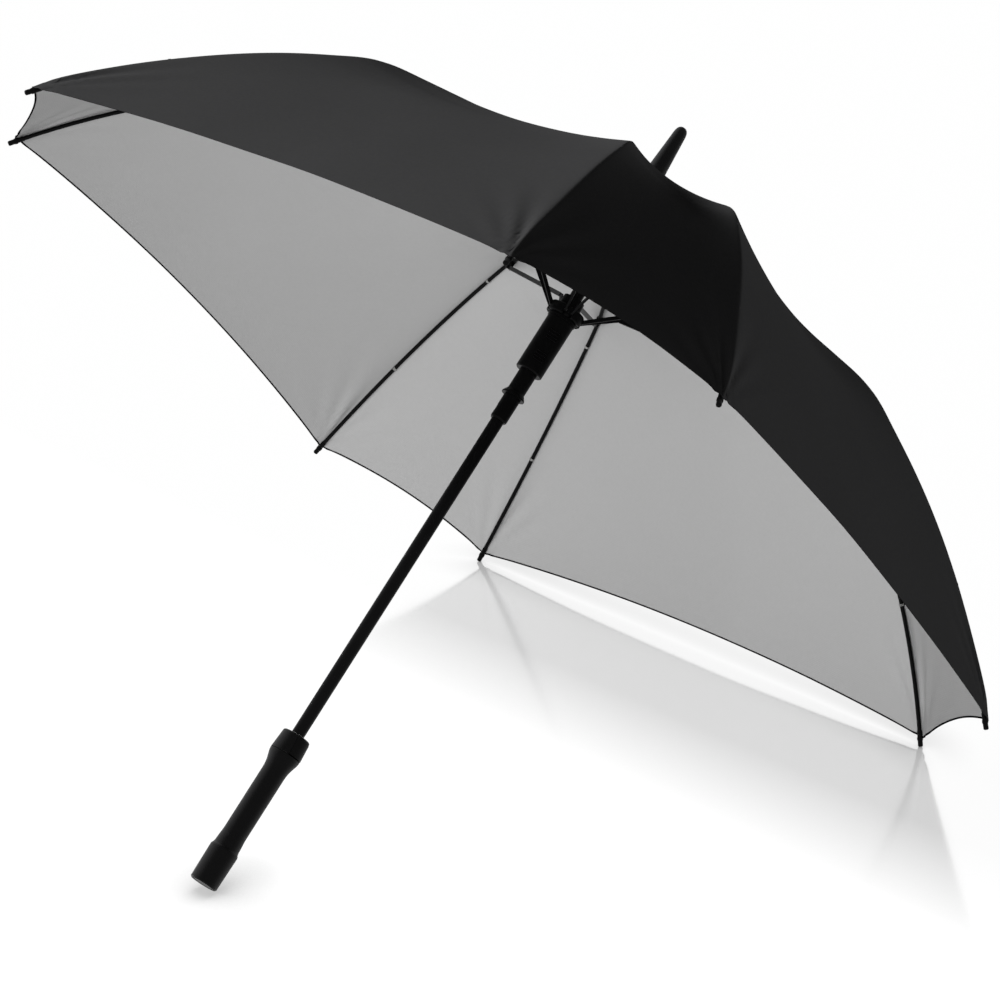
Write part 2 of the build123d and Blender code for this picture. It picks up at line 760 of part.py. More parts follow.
with BuildPart() as runner_wire:
    with BuildSketch(Plane.XZ):
        with Locations((ring_radius, ring_height)):
            Circle(wire_radius)
    revolve(axis=Axis.Z)
finish(runner_wire.part, "runner_wire")

with BuildPart() as drive_plunger:
    with BuildSketch(Plane.XY.offset(drive_pin_height - plunger_length / 2)):
        Circle(shaft_bore - slide_gap)
    extrude(amount=plunger_length)
    with BuildSketch(Plane.YZ):
        with Locations((0, drive_pin_height)):
            Circle(drive_pin_radius + fit_gap)
    extrude(amount=shaft_bore, both=True, mode=Mode.SUBTRACT)
finish(drive_plunger.part, "drive_plunger")

with BuildPart() as drive_pin:
    with BuildSketch(Plane.YZ):
        with Locations((0, drive_pin_height)):
            Circle(drive_pin_radius)
    extrude(amount=drive_pin_half_length, both=True)
finish(drive_pin.part, "drive_pin")

# ---------------------------------------------------------------- washer and ferrule
washer_rim_height = rib_point(washer_radius, fabric_offset + fabric_thickness + 0.3)[1]
washer_top = rib_point(crown_hole_radius, fabric_offset + fabric_thickness)[1] + 0.3 + washer_thickness
with BuildPart() as canopy_washer:
    with BuildSketch(Plane.XZ):
        with BuildLine():
            Polyline(
                (shaft_radius + fit_gap, washer_top - washer_thickness),
                (crown_hole_radius, washer_top - washer_thickness),
                (washer_radius, washer_rim_height),
                (washer_radius, washer_rim_height + 0.4),
                (ferrule_base_radius + 0.4, washer_top),
                (shaft_radius + fit_gap, washer_top),
                close=True,
            )
        make_face()
    revolve(axis=Axis.Z)
finish(canopy_washer.part, "canopy_washer")

ferrule_socket_top = shaft_top + 0.8
waist_height = washer_top + (total_length - washer_top) * 0.40
neck_height_up = total_length - 11.0
with BuildPart() as ferrule:
    with BuildSketch(Plane.XZ):
        with BuildLine():
            skirt = Line((ferrule_base_radius, washer_top), (ferrule_base_radius - 0.4, washer_top + 2.4))
            cone = Spline(
                skirt @ 1,
                (ferrule_waist_radius + 1.5, washer_top + 16.0),
                (ferrule_waist_radius, waist_height),
                tangents=((-0.35, 1), (-0.06, 1)),
            )
            taper = Line(cone @ 1, (ferrule_neck_radius, neck_height_up))
            nose = Spline(taper @ 1, (0, total_length), tangents=(taper % 1, (-1, 0)))
            Polyline(nose @ 1, (0, washer_top), skirt @ 0)
        make_face()
    revolve(axis=Axis.Z)
    with BuildSketch(Plane.XY.offset(washer_top)):
        Circle(shaft_radius + fit_gap)
    extrude(amount=ferrule_socket_top - washer_top, mode=Mode.SUBTRACT)
finish(ferrule.part, "ferrule")
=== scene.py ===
"""Finishes a square-canopy stick umbrella: cloth, thread, rods, runner, handle and ferrule."""

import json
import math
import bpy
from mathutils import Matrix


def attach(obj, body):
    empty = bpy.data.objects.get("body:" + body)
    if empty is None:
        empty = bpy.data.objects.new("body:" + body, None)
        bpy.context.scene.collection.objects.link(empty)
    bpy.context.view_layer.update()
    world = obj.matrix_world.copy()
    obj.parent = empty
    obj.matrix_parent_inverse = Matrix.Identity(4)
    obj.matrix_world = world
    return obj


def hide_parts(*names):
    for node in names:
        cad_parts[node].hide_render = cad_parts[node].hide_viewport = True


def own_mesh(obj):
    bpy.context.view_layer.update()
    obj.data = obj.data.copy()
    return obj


bl_info = {
    "name": "Square Stick Umbrella",
    "version": (1, 0, 0),
    "blender": (4, 5, 0),
    "location": "View3D > Sidebar > Umbrella",
    "description": "Sews the canopy of a square stick umbrella and finishes its frame",
    "category": "Add Mesh",
}

import bmesh
import bpy
from bpy.props import FloatProperty, FloatVectorProperty, IntProperty, PointerProperty
from bpy.types import Operator, Panel, PropertyGroup
from mathutils import Matrix, Vector, noise

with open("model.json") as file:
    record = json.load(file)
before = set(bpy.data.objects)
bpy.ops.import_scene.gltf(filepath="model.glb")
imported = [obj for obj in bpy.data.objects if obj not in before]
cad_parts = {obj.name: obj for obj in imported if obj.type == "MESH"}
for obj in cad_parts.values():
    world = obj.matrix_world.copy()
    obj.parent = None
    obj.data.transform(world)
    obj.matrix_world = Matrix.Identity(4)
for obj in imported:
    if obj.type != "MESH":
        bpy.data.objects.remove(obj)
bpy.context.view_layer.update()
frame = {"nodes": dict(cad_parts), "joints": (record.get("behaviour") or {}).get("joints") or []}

JOINTS = {joint["name"]: joint for joint in frame["joints"]}
RIB_NUMBERS = range(1, 9)
CORNER = math.pi / 2
HINGE = Vector(JOINTS["rib_1_hinge"]["pos_m"])
HINGE_RADIUS = HINGE.xy.length
HINGE_HEIGHT = HINGE.z

# Lengths are in metres. A reach is how far either side the rib line is averaged, and a fade
# is how far from the knee an effect dies out.
EASING_STEPS = 3
RIDGE_REACH = 0.028
RIDGE_FADE = 0.040
MIDDLE_REACH = 0.055
MIDDLE_KNEE_REACH = 0.090
MIDDLE_KNEE_FADE = 0.070
LARGEST_REACH = 0.4  # share of the distance from the shaft

# The cloth's swell over a bracket is highest a little inside the knee.
SWELL_INSET = 0.006
SWELL_FADE = 0.028

# Panels: columns stand closer near the rib, a hem's curve starts part of the way down, and
# the seam over a rib is rounded.
COLUMN_CROWDING = 1.5
HEM_START = 0.45
HEM_POWER = 3
SAG_POWER = 1.3
SEAM_ROUNDING = 0.30
SEAM_WIDTH = 0.0018

# Gathers fan out from a rib's end and are highest a little way from it.
GATHER_LIMIT = 0.12
GATHER_PEAK = 0.022
GATHER_FOCUS = 0.004
GATHER_FOLDS = 13
GATHER_TURN = 0.6
GATHER_TAPER = 0.9

# Slow unevenness of the cloth, outwards from a point under the crown.
UNEVEN_CENTRE = Vector((0.0, 0.0, 0.35))
UNEVEN_HEIGHT = 0.0012
UNEVEN_SCALE = 7.0

# Places of the inside and the hem in a gore's materials, after its outside.
INSIDE = 1
HEM = 2
DARKER = 0.3  # share of the cloth's colour that its hem and its stitches have

# Thread: a tie's turns stand some thread radii apart and lean both ways, and the stitches
# lie partly sunk in the cloth.
TIE_PITCH = 1.7
TIE_LEAN = 0.14
STITCH_RADIUS = 0.0009
STITCH_THREAD = 0.00022
STITCH_SINK = 0.0013
THREAD_SIDES = 6
THREAD_STEPS = 20
THREAD_MERGE = 1e-6
COPY_MERGE = 1e-7

# Floor: the umbrella rests on its handle and on the ends of two ribs.
RESTING_RIBS = (3, 2)
ROUGHLY_UP = Vector((-0.531, -0.531, 0.660))
RESTING_ROUNDS = 6
IMAGE_STRENGTH = 0.5
IMAGE_FADE = (0.4, 0.9)  # shares of the image's reach
IMAGE_BLUR = 0.13
# Painted contact shadow: ambient occlusion darkens the floor's white glow around the umbrella's
# feet.
PAINTED_SHADOW_REACH = 0.06
PAINTED_SHADOW_GLOW = (0.60, 1.16)  # glow where half of the view is shut off, and in the open
SEEN_SHARE = 0.9  # of white floor and mirror image in sight; the rest is lit floor

SENSOR_WIDTH = 36.0  # of the camera, in millimetres

# Lamps: name, direction to it in the camera's own axes, its level's setting and its angle.
LAMPS = (
    ("key_lamp", (-0.70, 0.60, -0.40), "key_level", 0.3),
    ("fill_lamp", (0.80, -0.20, -0.57), "fill_level", 0.3),
    ("front_lamp", (-0.42, -0.36, 0.83), "front_level", 0.8),
)


# ------------------------------------------------------------------ settings


class CanopySettings(PropertyGroup):
    """Shape of the cloth between the ribs."""

    strut_fall: FloatProperty(
        name="Inner fall",
        description="Fall of the ribs between the crown and the knee",
        default=math.radians(11.0),
        subtype="ANGLE",
    )
    knee_radius: FloatProperty(
        name="Knee radius",
        description="Distance of the ribs' knee from the shaft",
        default=0.310,
        unit="LENGTH",
    )
    bow_fall: FloatProperty(
        name="Outer fall",
        description="Fall of the ribs just outside the knee",
        default=math.radians(29.5),
        subtype="ANGLE",
    )
    tip_radius: FloatProperty(
        name="Tip radius",
        description="Distance of the ribs' ends from the shaft",
        default=0.583,
        unit="LENGTH",
    )
    tip_height: FloatProperty(
        name="Tip height",
        description="Height of the ribs' ends over the handle's end",
        default=0.554,
        unit="LENGTH",
    )
    hole_radius: FloatProperty(
        name="Centre hole",
        description="Radius of the hole in the cloth for the shaft",
        default=0.010,
        unit="LENGTH",
    )
    rib_cover: FloatProperty(
        name="Cloth over rib",
        description="Distance of the cloth's inside from a rib's centre line",
        default=0.0040,
        unit="LENGTH",
    )
    joint_swell: FloatProperty(
        name="Swell over joint",
        description="How much further out the cloth lies over a stretcher's bracket",
        default=0.0030,
        unit="LENGTH",
    )
    inner_bow: FloatProperty(
        name="Inner bow",
        description="How far the cloth bows up halfway from the crown to the knee",
        default=0.0016,
        unit="LENGTH",
    )
    thickness: FloatProperty(
        name="Cloth thickness",
        description="Thickness of the cloth with its coating",
        default=0.0004,
        unit="LENGTH",
    )
    narrow_sag: FloatProperty(
        name="Narrow panel sag",
        description="How far the middle of a narrow panel lies under the line between its ribs",
        default=0.007,
        unit="LENGTH",
    )
    wide_sag: FloatProperty(
        name="Wide panel sag",
        description="How far the middle of a wide panel lies under the line between its ribs",
        default=0.010,
        unit="LENGTH",
    )
    narrow_hem_in: FloatProperty(
        name="Narrow hem, inwards",
        description="How far a narrow panel's hem curves inwards",
        default=0.0054,
        unit="LENGTH",
    )
    narrow_hem_up: FloatProperty(
        name="Narrow hem, up",
        description="How far a narrow panel's hem curves upwards",
        default=0.0126,
        unit="LENGTH",
    )
    wide_hem_in: FloatProperty(
        name="Wide hem, inwards",
        description="How far a wide panel's hem curves inwards",
        default=0.0078,
        unit="LENGTH",
    )
    wide_hem_up: FloatProperty(
        name="Wide hem, up",
        description="How far a wide panel's hem curves upwards",
        default=0.0176,
        unit="LENGTH",
    )
    hem_width: FloatProperty(
        name="Hem width",
        description="Width of the turned hem inside the edge",
        default=0.0015,
        unit="LENGTH",
    )
    pucker: FloatProperty(
        name="Pucker",
        description="Height of the gathers where the cloth is sewn to a rib's end",
        default=0.0020,
        unit="LENGTH",
    )
    rows: IntProperty(
        name="Rows", description="Rows of faces from the crown to the hem", default=96
    )
    narrow_columns: IntProperty(
        name="Narrow columns", description="Faces across half a narrow panel", default=16
    )
    wide_columns: IntProperty(
        name="Wide columns", description="Faces across half a wide panel", default=34
    )
    fold_keep: FloatProperty(
        name="Fold",
        description="Share of the cloth's width that is left when the umbrella is closed",
        default=0.15,
        subtype="FACTOR",
    )
    outside_colour: FloatVectorProperty(
        name="Outside",
        description="Colour of the cloth's outside",
        default=(0.028, 0.028, 0.0285),
        subtype="COLOR",
    )
    inside_colour: FloatVectorProperty(
        name="Inside",
        description="Colour of the coating inside",
        default=(0.50, 0.50, 0.50),
        subtype="COLOR",
    )
    thread_colour: FloatVectorProperty(
        name="Thread",
        description="Colour of the thread that ties the cloth to the ribs",
        default=(0.45, 0.45, 0.44),
        subtype="COLOR",
    )


class FrameSettings(PropertyGroup):
    """Finish of the rods, the runner, the handle and the ferrule."""

    plastic_colour: FloatVectorProperty(
        name="Plastic",
        description="Colour of the moulded pieces",
        default=(0.0022, 0.0022, 0.0023),
        subtype="COLOR",
    )
    grip_colour: FloatVectorProperty(
        name="Grip",
        description="Colour of the handle's soft coating",
        default=(0.0034, 0.0034, 0.0035),
        subtype="COLOR",
    )
    ferrule_colour: FloatVectorProperty(
        name="Ferrule",
        description="Colour of the ferrule",
        default=(0.0150, 0.0150, 0.0153),
        subtype="COLOR",
    )
    disc_colour: FloatVectorProperty(
        name="End disc",
        description="Colour of the disc in the handle's end",
        default=(0.10, 0.10, 0.10),
        subtype="COLOR",
    )
    metal_colour: FloatVectorProperty(
        name="Coated metal",
        description="Colour of the coated shaft and stretchers",
        default=(0.0022, 0.0022, 0.0023),
        subtype="COLOR",
    )
    steel_colour: FloatVectorProperty(
        name="Steel",
        description="Colour of the bare steel wires and pins",
        default=(0.50, 0.50, 0.51),
        subtype="COLOR",
    )
    spring_colour: FloatVectorProperty(
        name="Spring",
        description="Colour of the drawn spring wire",
        default=(0.30, 0.30, 0.31),
        subtype="COLOR",
    )
    tie_radii: FloatVectorProperty(
        name="Tie places",
        description="Distances from the shaft at which the cloth is tied to a rib",
        default=(0.342, 0.485),
        size=2,
        unit="LENGTH",
    )
    tie_turns: IntProperty(name="Tie turns", description="Turns of thread in a tie", default=4)
    rod_radius: FloatProperty(
        name="Rod radius", description="Radius of a rib", default=0.0022, unit="LENGTH"
    )
    thread_radius: FloatProperty(
        name="Thread radius",
        description="Radius of the tying thread",
        default=0.0003,
        unit="LENGTH",
    )


class StageSettings(PropertyGroup):
    """Camera, floor and lamps."""

    camera_place: FloatVectorProperty(
        name="Camera",
        description="Place of the camera",
        default=(-0.3154, -4.0469, -0.4030),
        subtype="TRANSLATION",
        precision=4,
    )
    camera_aim: FloatVectorProperty(
        name="Aim",
        description="Point that the camera looks at",
        default=(0.0446, -0.0131, 0.4910),
        subtype="TRANSLATION",
        precision=4,
    )
    camera_up: FloatVectorProperty(
        name="Up",
        description="Direction that is upright in the picture",
        default=(-0.5488, -0.1339, 0.8252),
        subtype="DIRECTION",
        precision=4,
    )
    focal_length: FloatProperty(
        name="Focal length",
        description="Focal length in millimetres on a 36 mm sensor",
        default=146.36,
    )
    floor_size: FloatProperty(
        name="Floor", description="Half the width of the floor", default=5.0, unit="LENGTH"
    )
    floor_colour: FloatVectorProperty(
        name="Floor colour",
        description="Colour that the floor casts on the umbrella",
        default=(0.15, 0.15, 0.15),
        subtype="COLOR",
    )
    image_reach: FloatProperty(
        name="Image reach",
        description="How far in front of the umbrella the floor's mirror image fades out",
        default=0.32,
        unit="LENGTH",
    )
    key_level: FloatProperty(
        name="Key",
        description="Light from high on the left, behind the umbrella",
        default=3.9,
    )
    fill_level: FloatProperty(
        name="Fill", description="Light from low on the right, behind the umbrella", default=1.15
    )
    front_level: FloatProperty(
        name="Front", description="Light from low in front, under the canopy", default=0.68
    )
    sky_level: FloatProperty(
        name="Sky", description="Level light from all round on matt surfaces", default=0.15
    )


# ------------------------------------------------------------------ geometry helpers


def direction(azimuth):
    """Level unit vector at this azimuth."""
    return Vector((math.cos(azimuth), math.sin(azimuth), 0.0))


def off_rib(azimuth, fall):
    """Unit vector out of the canopy, square to a rib with this fall."""
    return direction(azimuth) * math.sin(fall) + Vector((0, 0, math.cos(fall)))


def rib_azimuth(number):
    """Azimuth of a rib, from its hinge."""
    place = JOINTS[f"rib_{number}_hinge"]["pos_m"]
    return math.atan2(place[1], place[0])


def rib_line(canopy, radius):
    """Height and fall of a rib's centre line at this distance from the shaft."""
    knee_height = HINGE_HEIGHT - (canopy.knee_radius - HINGE_RADIUS) * math.tan(canopy.strut_fall)
    if radius <= canopy.knee_radius:
        inwards = canopy.knee_radius - radius
        return knee_height + inwards * math.tan(canopy.strut_fall), canopy.strut_fall
    run = canopy.tip_radius - canopy.knee_radius
    drop = knee_height - canopy.tip_height
    half_turn = math.atan2(drop, run) - canopy.bow_fall
    bow = math.hypot(run, drop) / (2 * math.sin(half_turn))
    sine = math.sin(canopy.bow_fall) + (radius - canopy.knee_radius) / bow
    fall = math.asin(min(sine, 1.0))
    return knee_height - bow * (math.cos(canopy.bow_fall) - math.cos(fall)), fall


def rib_point(canopy, radius, offset):
    """Radius and height at this distance outwards from a rib's centre line."""
    height, fall = rib_line(canopy, radius)
    return radius + offset * math.sin(fall), height + offset * math.cos(fall)


def eased_line(canopy, radius, reach):
    """Mean height of the rib line a little way either side, which rounds the knee off."""
    steps = range(-EASING_STEPS, EASING_STEPS + 1)
    places = [radius + reach * step / EASING_STEPS for step in steps]
    heights = [rib_line(canopy, max(0.0, place))[0] for place in places]
    return sum(heights) / len(heights)


def new_piece(name, bm, materials, smooth=True):
    """Object at the origin that holds the finished mesh."""
    mesh = bpy.data.meshes.new(name)
    bm.to_mesh(mesh)
    bm.free()
    for material in materials:
        mesh.materials.append(material)
    if smooth:
        mesh.shade_smooth()
    piece = bpy.data.objects.new(name, mesh)
    bpy.context.scene.collection.objects.link(piece)
    return piece


def dress(nodes, material):
    """Give CAD nodes their finish."""
    for node in nodes:
        mesh = frame["nodes"][node].data
        mesh.materials.clear()
        mesh.materials.append(material)


# ------------------------------------------------------------------ materials


class Nodes:
    """A node tree and the steps that build it."""

    def __init__(self, tree):
        self.tree = tree

    def node(self, kind, **values):
        """New node with its properties and unlinked inputs set."""
        made = self.tree.nodes.new(kind)
        for key, value in values.items():
            if key in made.inputs:
                made.inputs[key].default_value = value
            else:
                setattr(made, key, value)
        return made

    def link(self, source, target):
        """Join two sockets."""
        self.tree.links.new(source, target)

    def calculate(self, operation, first, second):
        """One arithmetic step on two sockets or numbers."""
        made = self.node("ShaderNodeMath", operation=operation)
        for place, value in enumerate((first, second)):
            if isinstance(value, (int, float)):
                made.inputs[place].default_value = value
            else:
                self.link(value, made.inputs[place])
        return made.outputs["Value"]

    def between(self, value, low, high, start=0.0, end=1.0):
        """Number that runs from low to high as the value runs from start to end."""
        made = self.node("ShaderNodeMapRange")
        made.inputs["From Min"].default_value = start
        made.inputs["From Max"].default_value = end
        made.inputs["To Min"].default_value = low
        made.inputs["To Max"].default_value = high
        self.link(value, made.inputs["Value"])
        return made.outputs["Result"]

    def mix(self, share, first, second):
        """Shader that goes from the first to the second with the share."""
        made = self.node("ShaderNodeMixShader")
        for place, socket in enumerate((share, first, second)):
            self.link(socket, made.inputs[place])
        return made.outputs["Shader"]

    def in_sight(self):
        """1 where a ray shows the surface, straight, mirrored or through glass, and 0 elsewhere."""
        rays = self.node("ShaderNodeLightPath").outputs
        seen = rays["Is Camera Ray"]
        for ray in ("Is Glossy Ray", "Is Transmission Ray"):
            seen = self.calculate("MAXIMUM", seen, rays[ray])
        return seen


class Finish(Nodes):
    """A material with one principled shader and the nodes that feed it."""

    def __init__(self, name, roughness, specular=0.5, metallic=0.0):
        self.material = bpy.data.materials.new(name)
        self.material.use_nodes = True
        super().__init__(self.material.node_tree)
        self.shader = self.tree.nodes["Principled BSDF"]
        self.shader.inputs["Roughness"].default_value = roughness
        self.shader.inputs["Specular IOR Level"].default_value = specular
        self.shader.inputs["Metallic"].default_value = metallic

    def place(self, space="Object", scale=(1.0, 1.0, 1.0)):
        """Coordinates of the piece, stretched by a scale on each axis."""
        coordinates = self.node("ShaderNodeTexCoord")
        mapping = self.node("ShaderNodeMapping")
        mapping.inputs["Scale"].default_value = scale
        self.link(coordinates.outputs[space], mapping.inputs["Vector"])
        return mapping.outputs["Vector"]

    def noise(self, where, scale, detail=3.0):
        """Noise between 0 and 1."""
        made = self.node("ShaderNodeTexNoise", Scale=scale, Detail=detail)
        self.link(where, made.inputs["Vector"])
        return made.outputs["Fac"]

    def wave(self, where, scale, along):
        """Bands between 0 and 1."""
        made = self.node("ShaderNodeTexWave", bands_direction=along, Scale=scale)
        self.link(where, made.inputs["Vector"])
        return made.outputs["Fac"]

    def colour(self, value, colour, low, high, start=0.0, end=1.0):
        """Base colour, from a low to a high share of the one given, as the value runs."""
        made = self.node("ShaderNodeValToRGB")
        for stop, place, share in zip(made.color_ramp.elements, (start, end), (low, high)):
            stop.position = place
            stop.color = (*tinted(colour, share), 1.0)
        self.link(value, made.inputs["Fac"])
        self.link(made.outputs["Color"], self.shader.inputs["Base Color"])

    def roughness(self, value, low, high, start=0.0, end=1.0):
        """Roughness that runs from low to high as the value runs from start to end."""
        rough = self.between(value, low, high, start, end)
        self.link(rough, self.shader.inputs["Roughness"])

    def bump(self, height, distance, strength):
        """Raise the surface by the height."""
        made = self.node("ShaderNodeBump", Distance=distance, Strength=strength)
        self.link(height, made.inputs["Height"])
        self.link(made.outputs["Normal"], self.shader.inputs["Normal"])


def tinted(colour, share):
    """The colour made lighter or darker by a share."""
    return tuple(channel * share for channel in colour)


def cloth(name, colour, roughness, contrast, specular):
    """Plain-woven cloth whose threads follow the piece's own UV map, in metres."""
    finish = Finish(name, roughness, specular=specular)
    threads = finish.place("UV")
    warp = finish.wave(threads, scale=190.0, along="X")
    weft = finish.wave(threads, scale=190.0, along="Y")
    weave = finish.calculate("MULTIPLY", warp, weft)
    where = finish.place()
    slub = finish.noise(where, scale=260.0, detail=2.0)
    cloud = finish.noise(where, scale=5.0)
    mixed = finish.calculate("MULTIPLY", weave, 0.45)
    for pattern in (slub, cloud):
        mixed = finish.calculate("ADD", mixed, finish.calculate("MULTIPLY", pattern, 0.35))
    finish.colour(mixed, colour, 1 - contrast, 1 + contrast, start=0.2, end=0.9)
    finish.bump(finish.calculate("ADD", weave, slub), distance=0.0002, strength=0.35)
    return finish.material


def moulded(name, colour, roughness, grain=0.00006, sheen=0.0):
    """Moulded plastic with a fine spark-eroded grain, and a sheen where it has a soft coating."""
    finish = Finish(name, roughness, specular=0.05)
    finish.shader.inputs["Sheen Weight"].default_value = sheen
    finish.shader.inputs["Sheen Roughness"].default_value = 0.4
    where = finish.place()
    fine = finish.noise(where, scale=1400.0, detail=2.0)
    broad = finish.noise(where, scale=30.0)
    finish.colour(broad, colour, low=0.88, high=1.14, start=0.3, end=0.7)
    finish.roughness(broad, roughness - 0.05, roughness + 0.06, start=0.3, end=0.7)
    finish.bump(fine, distance=grain, strength=0.6)
    return finish.material


def coated_metal(name, colour, roughness, along=(1.0, 1.0, 0.05)):
    """Sprayed or drawn metal whose faint texture runs lengthwise."""
    finish = Finish(name, roughness, specular=0.06)
    streak = finish.noise(finish.place(scale=along), scale=900.0, detail=2.0)
    broad = finish.noise(finish.place(), scale=40.0)
    finish.colour(broad, colour, low=0.85, high=1.2, start=0.3, end=0.7)
    finish.roughness(streak, roughness - 0.04, roughness + 0.06)
    finish.bump(streak, distance=0.00004, strength=0.4)
    return finish.material


def bare_steel(name, colour):
    """Drawn steel wire."""
    finish = Finish(name, roughness=0.32, metallic=1.0)
    mark = finish.noise(finish.place(), scale=700.0, detail=4.0)
    finish.colour(mark, colour, low=0.8, high=1.1, start=0.3, end=0.7)
    finish.roughness(mark, low=0.24, high=0.42)
    finish.bump(mark, distance=0.00002, strength=0.3)
    return finish.material


def twisted_thread(name, colour):
    """Sewing thread, lighter on its turns."""
    finish = Finish(name, roughness=0.7, specular=0.25)
    twist = finish.wave(finish.place(), scale=900.0, along="DIAGONAL")
    finish.colour(twist, colour, low=0.7, high=1.15)
    finish.bump(twist, distance=0.0001, strength=0.5)
    return finish.material


# ------------------------------------------------------------------ canopy


class Gore:
    """Cloth over one rib, out to the middle of the panel on each side."""

    def __init__(self, canopy, number):
        self.canopy = canopy
        self.azimuth = rib_azimuth(number)
        corner = round(self.azimuth / CORNER) * CORNER
        side = 1.0 if self.azimuth > corner else -1.0
        # each pair holds the narrow panel's value and the wide panel's
        self.middles = (corner, corner + side * CORNER / 2)
        self.sags = (canopy.narrow_sag, canopy.wide_sag)
        self.hems = (
            (canopy.narrow_hem_in, canopy.narrow_hem_up),
            (canopy.wide_hem_in, canopy.wide_hem_up),
        )
        self.columns = canopy.narrow_columns + canopy.wide_columns
        self.length = math.hypot(
            canopy.tip_radius - canopy.hole_radius,
            rib_line(canopy, canopy.hole_radius)[0] - canopy.tip_height,
        )

    def across(self, column):
        """Which panel a column of vertices is in, and its share of the way to the middle."""
        narrow = self.canopy.narrow_columns
        if column < narrow:
            return 0, ((narrow - column) / narrow) ** COLUMN_CROWDING
        return 1, ((column - narrow) / self.canopy.wide_columns) ** COLUMN_CROWDING

    def down(self, row):
        """Share of the way from the crown to the edge; the last row of faces is the hem."""
        if row == self.canopy.rows:
            return 1.0
        return row / (self.canopy.rows - 1) * (1 - self.canopy.hem_width / self.length)

    def half_angle(self, panel):
        """Angle from the rib to the middle of a panel."""
        return abs(self.middles[panel] - self.azimuth)

    def near_knee(self, radius, fade):
        """Weight that is 1 at the ribs' knee and dies out within about the fade."""
        return math.exp(-(((radius - self.canopy.knee_radius) / fade) ** 2))

    def swell(self, radius):
        """How far the bracket holds the cloth off the rib: it comes down slowly to the crown."""
        canopy = self.canopy
        top = canopy.knee_radius - SWELL_INSET
        if radius < top:
            inwards = radius / top
            return canopy.joint_swell * inwards + canopy.inner_bow * math.sin(math.pi * inwards)
        return canopy.joint_swell * math.exp(-(((radius - top) / SWELL_FADE) ** 2))

    def lift(self, radius):
        """How far the middle of a panel lies over the straight line of the ribs."""
        largest = radius * LARGEST_REACH
        eased = eased_line(self.canopy, radius, min(MIDDLE_REACH, largest))
        rounder = eased_line(self.canopy, radius, min(MIDDLE_KNEE_REACH, largest))
        straight = rib_line(self.canopy, radius)[0]
        return eased - straight + self.near_knee(radius, MIDDLE_KNEE_FADE) * (rounder - eased)

    def gather(self, down, beside):
        """Small folds that fan out from the stitches at the rib's end."""
        back = (1 - down) * self.length
        reach = math.hypot(back, beside)
        if reach > GATHER_LIMIT:
            return 0.0
        fan = math.atan2(beside, back + GATHER_FOCUS)
        height = self.canopy.pucker * (reach / GATHER_PEAK) * math.exp(1 - reach / GATHER_PEAK)
        return height * math.sin(fan * GATHER_FOLDS + GATHER_TURN) * math.cos(fan * GATHER_TAPER)

    def point(self, column, row):
        """Place of a vertex of the cloth's outside."""
        canopy = self.canopy
        panel, share = self.across(column)
        down = self.down(row)
        radius = canopy.hole_radius + (canopy.tip_radius - canopy.hole_radius) * down
        straight, fall = rib_line(canopy, radius)
        cover = canopy.rib_cover + canopy.thickness + self.swell(radius)
        rib_radius, rib_height = rib_point(canopy, radius, cover)
        ridge = eased_line(canopy, radius, RIDGE_REACH)
        rib_height += self.near_knee(radius, RIDGE_FADE) * (ridge - straight)

        half_angle = self.half_angle(panel)
        middle = direction(self.middles[panel])
        hem_in, hem_up = self.hems[panel]
        near_hem = max(0.0, (down - HEM_START) / (1 - HEM_START)) ** HEM_POWER
        sag = self.sags[panel] * math.sin(math.pi * down) ** SAG_POWER
        on_rib = direction(self.azimuth) * rib_radius + Vector((0, 0, rib_height))
        chord = middle * rib_radius * math.cos(half_angle) + Vector((0, 0, rib_height))
        bow = Vector((0, 0, self.lift(radius) - sag + hem_up * near_hem))
        bow -= middle * hem_in * near_hem
        place = on_rib.lerp(chord, share) + bow * (1 - (1 - share) ** 2)

        # the seam over the rib is rounded, not a sharp fold
        outwards = off_rib(self.azimuth, fall)
        beside = share * rib_radius * math.sin(half_angle)
        place -= outwards * SEAM_ROUNDING * (math.hypot(beside, SEAM_WIDTH) - beside)
        return place + outwards * self.gather(down, beside if panel else -beside)

    def flat_place(self, column, row):
        """Place of a vertex on the flat cloth, across its rib and along it."""
        panel, share = self.across(column)
        along = self.down(row) * self.length
        width = share * (self.canopy.hole_radius + along) * math.sin(self.half_angle(panel))
        return (width if panel else -width), along

    def over_rib(self):
        """Length of the cloth along its rib, from the centre hole to the hem."""
        column = self.canopy.narrow_columns
        places = [self.point(column, row) for row in range(self.canopy.rows + 1)]
        return sum((after - before).length for before, after in zip(places, places[1:]))


def uneven(place):
    """Place moved by the slow unevenness of stretched cloth, the same wherever two gores meet."""
    outwards = (place - UNEVEN_CENTRE).normalized()
    return place + outwards * UNEVEN_HEIGHT * noise.noise(place * UNEVEN_SCALE)


def cloth_normals(gore, cell):
    """The cloth's direction at each vertex, the same on both gores where they meet."""
    normals = {}
    for vertex, (column, row) in cell.items():
        normal = vertex.normal.copy()
        if column in (0, gore.columns):
            seam = gore.middles[0 if column == 0 else 1]
            along = direction(seam + math.pi / 2)
            normal = (normal - along * normal.dot(along)).normalized()
        normals[vertex] = normal
    return normals


